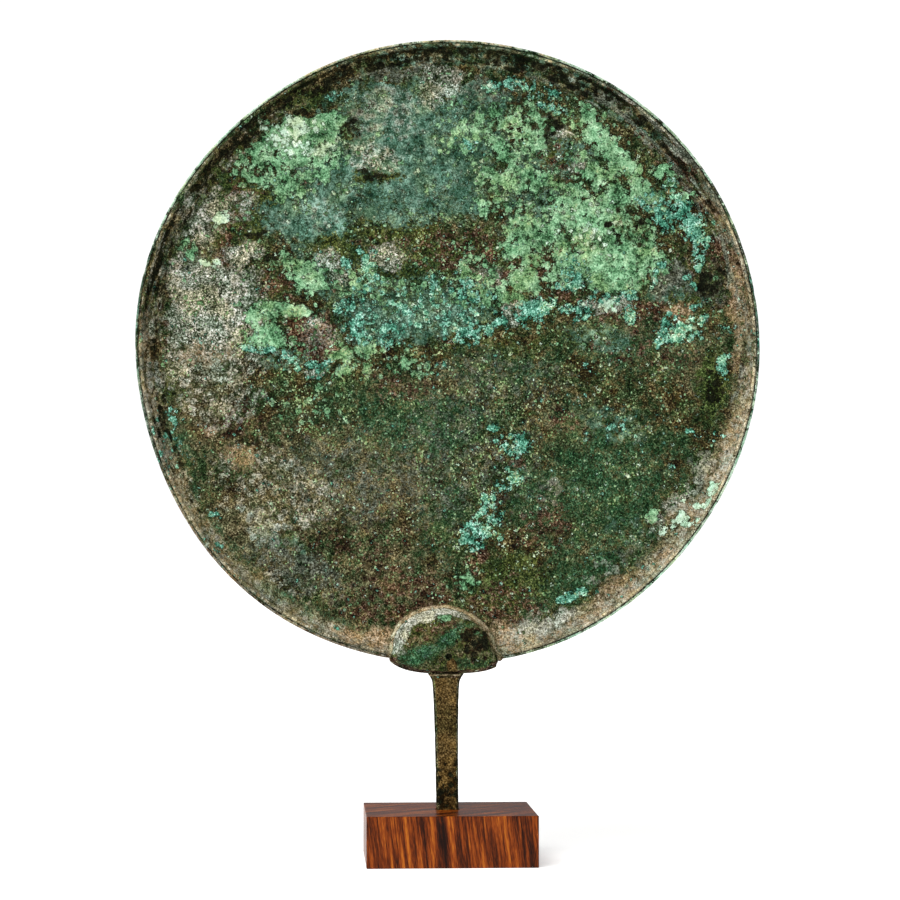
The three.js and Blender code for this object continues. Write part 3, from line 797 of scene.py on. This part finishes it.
# Bronze with an archaeological patina: a matt mineral skin, so the shader is no longer a metal.
# The eye sees grains from a quarter to one millimetre, and crusts with lobed edges of one to
# three millimetres. Shades run from the dark hollows to the light tops of each mineral's grains.
SHADE_STOPS = (0.06, 0.26, 0.5, 0.74, 0.94)
SHADES = {
    "green_base": ("#020802", "#0e1a06", "#243218", "#4c6040", "#90a078"),
    "brown_base": ("#040302", "#160e04", "#2c2410", "#544c2c", "#968c68"),
    "teal_skin": ("#0a2016", "#264432", "#4c6c5c", "#789c8a", "#a0c2b4"),
    "olive": ("#060a04", "#141c08", "#2e3818", "#525e30", "#808a56"),
    "umber": ("#100c04", "#2e2614", "#564e36", "#867c5e", "#bcb28e"),
    "verdure": ("#040e06", "#0c2412", "#1e4026", "#3e6a48", "#7aa280"),
    "ash": ("#10120e", "#24281e", "#464a3e", "#6e7468", "#989e90"),
    "chalk": ("#3c3e32", "#6c6c60", "#9a9c90", "#c4c8bc", "#e0e4da"),
    "cuprite": ("#080402", "#1a0c06", "#362416", "#604a3a", "#a08a78"),
    "grey_grains": ("#14180e", "#3c4430", "#8e9684", "#dad8cc", "#ffffff"),
    "earth": ("#242012", "#504430", "#8a7454", "#bea484", "#dacdb8"),
    "malachite": ("#0c2012", "#2e5232", "#6c966e", "#9cc49c", "#c6e8c0"),
    "turquoise": ("#0e3428", "#265844", "#54907a", "#98d4be", "#e0fcf4"),
    "pale_scale_and_highlight": ("#40563a", "#80987c", "#b0ccb4", "#d0e8d4", "#e4f4e6"),
    "golden_skin": ("#100a04", "#2c200a", "#4c3c20", "#6e5a36", "#967e52"),
    "specks": ("#426c46", "#70986a", "#96ae86", "#b4c09e", "#ccceba"),
    "dark_pits_and_shade": ("#040502", "#0a0c06", "#14160c", "#222416", "#3c3e2a"),
    "wear": ("#544a36", "#867a60", "#b2a686", "#d6caae", "#eee8d2"),
}
# A mineral shows where its cover and its ragged noise together pass this.
SHOWS_FROM = 0.52
# How each mineral's edge is broken up: which of three noises, how wide the ragged edge is, how
# soft each flake's own edge is, and how coarse its grains are. Later ones lie over earlier ones.
EDGES = {
    "umber": (1, 0.8, 0.4, "coarse"), "verdure": (2, 0.8, 0.4, "coarse"),
    "teal_skin": (1, 1.1, 0.2, "smooth"),
    "olive": (2, 1.3, 0.12, "coarse"), "cuprite": (0, 1.4, 0.15, "coarse"), "ash": (0, 0.8, 0.2, "coarse"),
    "grey_grains": (1, 1.0, 0.38, "coarse"), "earth": (2, 0.9, 0.4, "coarse"),
    "chalk": (1, 1.1, 0.4, "coarse"), "malachite": (2, 1.3, 0.06, "smooth"),
    "turquoise": (0, 1.5, 0.05, "middling"), "pale_scale_and_highlight": (1, 1.4, 0.06, "smooth"),
    "golden_skin": (0, 0.3, 0.1, "coarse"), "wear": (1, 0.8, 0.16, "coarse"),
    "dark_pits_and_shade": (0, 1.0, 0.08, "coarse"),
}
CRISP = 0.1  # a crust with a crisper edge than this has the recess beside it darkened, as dirt and as painted shade
RECESS = 0.2
DIRT_AND_SHADE = "#736546"
TINTS = ((0.3, "#eefffb"), (0.5, "#ffffff"), (0.7, "#fffae6"))
# How much blotches, flakes, grains and cells count in a mineral's tone.
TONE_WEIGHTS = {
    "coarse": (0.7, 1.0, 2.1, 0.45), "middling": (0.8, 1.2, 1.7, 0.3), "smooth": (0.9, 1.4, 1.3, 0.2),
}
CRUMB_SHOVE = 2.6  # how far the grains push the crumbs' outlines about, in millimetres
bronze = bpy.data.materials.new("patinated_bronze")
bronze.use_nodes = True
tree = bronze.node_tree
shader = tree.nodes["Principled BSDF"]
shader.inputs["Metallic"].default_value = 0.0
shader.inputs["Specular IOR Level"].default_value = 0.04
PER_MM = (1 / MM, 1 / MM, 1 / MM)
place = add(tree, "ShaderNodeTexCoord").outputs["Object"]
to_disc = {"Vector": place, "Location": (0, 0, -DISC_CENTRE_Z), "Scale": PER_MM}
place = add(tree, "ShaderNodeMapping", to_disc).outputs["Vector"]
blotch = add(tree, "ShaderNodeTexNoise", {"Vector": place, "Scale": 0.11, "Detail": 3.0})
flakes = add(tree, "ShaderNodeTexNoise", {"Vector": place, "Scale": 0.36, "Detail": 5.0, "Roughness": 0.62})
grain = add(tree, "ShaderNodeTexNoise", {"Vector": place, "Scale": 1.8, "Detail": 3.0, "Roughness": 0.7})
grit = add(tree, "ShaderNodeTexVoronoi", {"Vector": place, "Scale": 1.9})
shove = {0: grain.outputs["Color"], 1: (CRUMB_SHOVE, CRUMB_SHOVE, CRUMB_SHOVE), 2: place}
shoved = add(tree, "ShaderNodeVectorMath", shove, operation="MULTIPLY_ADD")
crumb = add(tree, "ShaderNodeTexVoronoi", {"Vector": shoved.outputs["Vector"], "Scale": 0.5})
blotches, flake, grains, cell, crumbs = [
    add(tree, "ShaderNodeSeparateColor", {"Color": texture.outputs["Color"]}).outputs
    for texture in (blotch, flakes, grain, grit, crumb)
]


def worked(operation, *values):
    """The result of a sum that is worked out at every place."""
    made = add(tree, "ShaderNodeMath", dict(enumerate(values)), operation=operation)
    return made.outputs["Value"]


def sum_of(*terms):
    """Adds up (value, weight) pairs, each counted from the value's middle, around 0.5."""
    total = 0.5 - sum(weight * 0.5 for _, weight in terms)
    for value, weight in terms:
        total = worked("MULTIPLY_ADD", value, weight, total)
    return total


lobe = crumb.outputs["Distance"]
RAGGED_WEIGHTS = (0.5, 0.9, 0.5, -0.6, 0.12, 0.3)
ragged = [
    sum_of(*zip((blotches[k], flake[k], crumbs[k], lobe, cell[k], grains[k]), RAGGED_WEIGHTS))
    for k in range(3)
]
tones = {
    kind: [
        sum_of(*zip((blotches[k - 2], flake[k - 2], grains[k], cell[k]), weights)) for k in range(3)
    ]
    for kind, weights in TONE_WEIGHTS.items()
}


def spread(value, low, high, least=0.0, most=1.0):
    """Stretches the values from low to high over least to most."""
    ends = {"From Min": low, "From Max": high, "To Min": least, "To Max": most}
    return add(tree, "ShaderNodeMapRange", {"Value": value, **ends}).outputs["Result"]


def shades_of(name, tone):
    ramp = list(zip(SHADE_STOPS, SHADES[name]))
    return add(tree, "ShaderNodeValToRGB", {"Fac": tone}, stops=ramp).outputs["Color"]


def laid_over(under, over, where, blend="MIX"):
    """Lays one colour over another; 0, 6, 7 and 2 are the colour sockets of a mix."""
    sockets = {0: where, 6: under, 7: over}
    return add(tree, "ShaderNodeMix", sockets, data_type="RGBA", blend_type=blend).outputs[2]


cover = {}
for map_name, names in MAPS.items():
    layer = add(tree, "ShaderNodeAttribute", attribute_name=map_name)
    parts = add(tree, "ShaderNodeSeparateColor", {"Color": layer.outputs["Color"]}).outputs
    cover.update(zip(names, [*parts, layer.outputs["Alpha"]]))

browner = spread(sum_of((blotches[0], 1.6), (flake[1], 2.0), (grains[2], 0.8)), 0.35, 0.65)
green = shades_of("green_base", tones["coarse"][0])
colour = laid_over(green, shades_of("brown_base", tones["coarse"][1]), browner)
lies_on = {}
for name, (which, width, soft, kind) in EDGES.items():
    there = worked("ADD", cover[name], worked("MULTIPLY_ADD", ragged[which], width, -0.5 * width))
    lies_on[name] = spread(there, SHOWS_FROM - soft, SHOWS_FROM + soft)
    if soft < CRISP:
        # The recess beside a crisp crust is darkened, partly as dirt and partly as painted shade.
        beside = spread(there, SHOWS_FROM - soft - RECESS, SHOWS_FROM - soft)
        colour = laid_over(colour, linear(DIRT_AND_SHADE), beside, "MULTIPLY")
    colour = laid_over(colour, shades_of(name, tones[kind][which]), lies_on[name])
    if name == "golden_skin":  # light specks, in clusters, lie over everything so far
        clusters = spread(sum_of((blotches[1], 1.6), (flake[2], 1.6)), 0.4, 0.9)
        often = worked("MULTIPLY", cover["specks"], spread(clusters, 0.0, 1.0, 0.02, 0.2))
        lit = worked("LESS_THAN", cell[2], often)
        colour = laid_over(colour, shades_of("specks", tones["smooth"][2]), lit)
tint = add(tree, "ShaderNodeValToRGB", {"Fac": sum_of((blotches[1], 1.6), (flake[2], 0.5))}, stops=TINTS)
colour = laid_over(colour, tint.outputs["Color"], 1.0, "MULTIPLY")
tree.links.new(colour, shader.inputs["Base Color"])

height = sum_of((flake[0], 1.2), (grains[0], 1.0), (cell[0], 0.15))
crusted = sum_of((lies_on["malachite"], 0.5), (lies_on["turquoise"], 0.4), (lies_on["dark_pits_and_shade"], -0.6))
height = worked("ADD", height, crusted)
bump = add(tree, "ShaderNodeBump", {"Strength": 1.0, "Distance": 0.45 * MM, "Height": height})
tree.links.new(bump.outputs["Normal"], shader.inputs["Normal"])
roughness = worked("MULTIPLY_ADD", tones["coarse"][1], 0.3, 0.6)
tree.links.new(roughness, shader.inputs["Roughness"])
casting.data.materials.clear()
casting.data.materials.append(bronze)

# The texture's layout: the front of the disc fills most of it; the back, the edge and the tang lie
# beside it and above it. The edge is cut into four strips, one for each quarter of the way round.
# Places in the layout run from 0 to 1. The disc's two views have x, y and size.
HALF_SPAN = 114.5  # millimetres from the disc's centre to its views' sides
FRONT_VIEW = (0.005, 0.005, 0.69)
BACK_VIEW = (0.705, 0.005, 0.285)
STRIP_X, STRIP_LENGTH = 0.01, 0.98
STRIP_Y, STRIP_APART, STRIP_WIDTH = 0.71, 0.04, 0.034
TANG_X = {"front": 0, "back": 0.32, "sides": 0.64}  # counted from where the strips start
TANG_LENGTH, TANG_REACH = 0.3, 66  # the tang's length in the layout, and in millimetres
TANG_Y, FLAT_WIDTH, SIDE_WIDTH, SIDES_APART = 0.89, 0.05, 0.03, 0.04
UNDERSIDE = 0.965  # the middle of the tang's foot, both ways
UNDERSIDE_SCALE = 400
mesh = casting.data
corner_counts = np.empty(len(mesh.polygons), int)
mesh.polygons.foreach_get("loop_total", corner_counts)
corner_vertex = np.empty(len(mesh.loops), int)
mesh.loops.foreach_get("vertex_index", corner_vertex)
face_normals = np.empty(len(mesh.polygons) * 3, np.float32)
mesh.polygons.foreach_get("normal", face_normals)
face_of = np.repeat(np.arange(len(mesh.polygons)), corner_counts)
nx, ny, nz = face_normals.reshape(-1, 3)[face_of].T.astype(float)
mid_u, mid_v, mid_depth = [middle[face_of] for middle in face_middles(mesh)]
u, v, depth = [value[corner_vertex] for value in places_of(mesh)]


def in_view(view, across, up):
    """Places a view of the disc, which runs from -1 to 1 both ways, in its square."""
    x, y, size = view
    return x + size * (across + 1) / 2, y + size * (up + 1) / 2


front_x, front_y = in_view(FRONT_VIEW, u / HALF_SPAN, v / HALF_SPAN)
back_x, back_y = in_view(BACK_VIEW, -u / HALF_SPAN, v / HALF_SPAN)
turned = np.arctan2(mid_v, mid_u) / (2 * math.pi) % 1
quarter = np.floor(turned * 4)
past_middle = (np.arctan2(v, u) - np.arctan2(mid_v, mid_u)) / (2 * math.pi)
turned += (past_middle + 0.5) % 1 - 0.5
edge_x = STRIP_X + STRIP_LENGTH * (4 * turned - quarter)
edge_y = STRIP_Y + STRIP_APART * quarter + STRIP_WIDTH * np.clip((depth + 4) / 10, 0, 1)
along_tang = (v + DISC_CENTRE_Z - TANG_FOOT_Z) / TANG_REACH
broad = np.abs(ny) > np.abs(nx)
tang_starts = np.where(broad, np.where(ny < 0, TANG_X["front"], TANG_X["back"]), TANG_X["sides"])
tang_x = STRIP_X + TANG_LENGTH * along_tang + tang_starts
flat_y = TANG_Y + FLAT_WIDTH * (u + 8) / 16
side_y = TANG_Y + SIDE_WIDTH * (depth + 4) / 8 + np.where(nx > 0, SIDES_APART, 0)
tang_y = np.where(broad, flat_y, side_y)
under = (nz < -0.8) & (mid_v + DISC_CENTRE_Z < TANG_FOOT_Z + 1)
tang_x = np.where(under, UNDERSIDE + u / UNDERSIDE_SCALE, tang_x)
tang_y = np.where(under, UNDERSIDE + depth / UNDERSIDE_SCALE, tang_y)
of_tang = (mid_v < -113.8) & (np.abs(mid_u) < 12)
outline = disc_radius_at(np.arctan2(mid_v, mid_u)) - 1.2
within_edge = (np.hypot(mid_u, mid_v) < outline) & (mid_depth > 0)
belongs = [of_tang, (ny < -0.12) | within_edge, ny > 0.12]
chosen_x = np.select(belongs, [tang_x, front_x, back_x], edge_x)
chosen_y = np.select(belongs, [tang_y, front_y, back_y], edge_y)
layout = mesh.uv_layers.new(name="OFBake")
layout.data.foreach_set("uv", np.stack([chosen_x, chosen_y], 1).astype(np.float32).ravel())

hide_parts("mirror")
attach(casting, "root")

# ----------------------------------------
# The display block: a modern block of polished rosewood, sawn with its fibres upright and with
# its edges just broken. The tang stands in a blind socket cut into its top.
# ----------------------------------------
BLOCK_ARRIS = 0.35
SOCKET_GAP = 0.3
SOCKET_DEPTH = 12.0
MOUTH_CHAMFER = 0.2
block_low, block_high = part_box("display_block")

bpy.ops.object.select_all(action="DESELECT")
bpy.ops.mesh.primitive_cube_add(size=1)
block = bpy.context.object
block.name = "rosewood_block"
block.data.name = "rosewood_block"
block.scale = block_high - block_low
block.location = (block_low + block_high) / 2
bpy.ops.object.transform_apply(location=True, scale=True)
bpy.ops.object.mode_set(mode="EDIT")
bpy.ops.mesh.select_all(action="SELECT")
bpy.ops.mesh.bevel(offset=BLOCK_ARRIS * MM, segments=3, affect="EDGES")
bpy.ops.object.mode_set(mode="OBJECT")

bpy.ops.mesh.primitive_cube_add(size=1)
socket = bpy.context.object
block_top = block_high.z / MM
mouth_u = float(tang_centre_at(block_top))
mouth_width = float(tang_width_at(block_top)) + 2 * SOCKET_GAP
socket.scale = Vector((mouth_width, TANG_THICKNESS + 2 * SOCKET_GAP, 2 * SOCKET_DEPTH)) * MM
socket.location = (mouth_u * MM, 0, block_high.z)
bpy.ops.object.transform_apply(location=True, scale=True)
bpy.context.view_layer.objects.active = block
cut = block.modifiers.new("socket", "BOOLEAN")
cut.operation = "DIFFERENCE"
cut.solver = "EXACT"
cut.object = socket
bpy.ops.object.modifier_apply(modifier=cut.name)
bpy.data.objects.remove(socket)

mesh = block.data
edge_ends = np.array([[list(mesh.vertices[i].co / MM) for i in edge.vertices] for edge in mesh.edges])
on_top = np.all(np.abs(edge_ends[:, :, 2] - block_high.z / MM) < 0.01, axis=1)
near_tang = np.all(np.abs(edge_ends[:, :, 0] - mouth_u) < mouth_width, axis=1)
mouth = on_top & near_tang & np.all(np.abs(edge_ends[:, :, 1]) < TANG_THICKNESS, axis=1)
select_only(mesh, "edges", mouth)
bpy.ops.object.mode_set(mode="EDIT")
bpy.ops.mesh.select_mode(type="EDGE")
bpy.ops.mesh.bevel(offset=MOUTH_CHAMFER * MM, segments=2, affect="EDGES")
bpy.ops.object.mode_set(mode="OBJECT")

# Rosewood, rubbed to a low polish: dark and orange-brown layers one to four millimetres apart,
# crossed by the block's face at a slant, and fine fibres and pores that run up and down.
LAYERS_TURN = math.radians(52)
FIBRE_LEAN = math.radians(7)
rosewood = bpy.data.materials.new("polished_rosewood")
rosewood.use_nodes = True
tree = rosewood.node_tree
shader = tree.nodes["Principled BSDF"]
place = add(tree, "ShaderNodeTexCoord").outputs["Object"]
to_wood = {"Vector": place, "Rotation": (0, FIBRE_LEAN, LAYERS_TURN), "Scale": PER_MM}
wood_place = add(tree, "ShaderNodeMapping", to_wood).outputs["Vector"]
# How fine each grain is across the layers, along them and up the fibres, and its detail.
GRAINS = {
    "layers": ((0.42, 0.05, 0.018), 3.0),
    "streaks": ((1.5, 1.1, 0.05), 3.0),
    "pores": ((5.0, 4.0, 0.35), 2.0),
}
ROSEWOOD = ((0.05, "#160602"), (0.28, "#361404"), (0.5, "#5e2606"), (0.72, "#823c10"), (0.95, "#a45c18"))
wood = {}
for name, (scale, detail) in GRAINS.items():
    stretched = add(tree, "ShaderNodeMapping", {"Vector": wood_place, "Scale": scale}).outputs["Vector"]
    figure = add(tree, "ShaderNodeTexNoise", {"Vector": stretched, "Scale": 1.0, "Detail": detail})
    wood[name] = figure.outputs[0]
tone = sum_of((wood["layers"], 1.9), (wood["streaks"], 1.5), (wood["pores"], 0.9))
colour = add(tree, "ShaderNodeValToRGB", {"Fac": tone}, stops=ROSEWOOD).outputs["Color"]
tree.links.new(colour, shader.inputs["Base Color"])
shader.inputs["Roughness"].default_value = 0.3
shader.inputs["Specular IOR Level"].default_value = 0.1
pitted = add(tree, "ShaderNodeBump", {"Strength": 0.5, "Distance": 0.04 * MM, "Height": wood["pores"]})
tree.links.new(pitted.outputs["Normal"], shader.inputs["Normal"])
block.data.materials.append(rosewood)
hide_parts("display_block")
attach(block, "root")
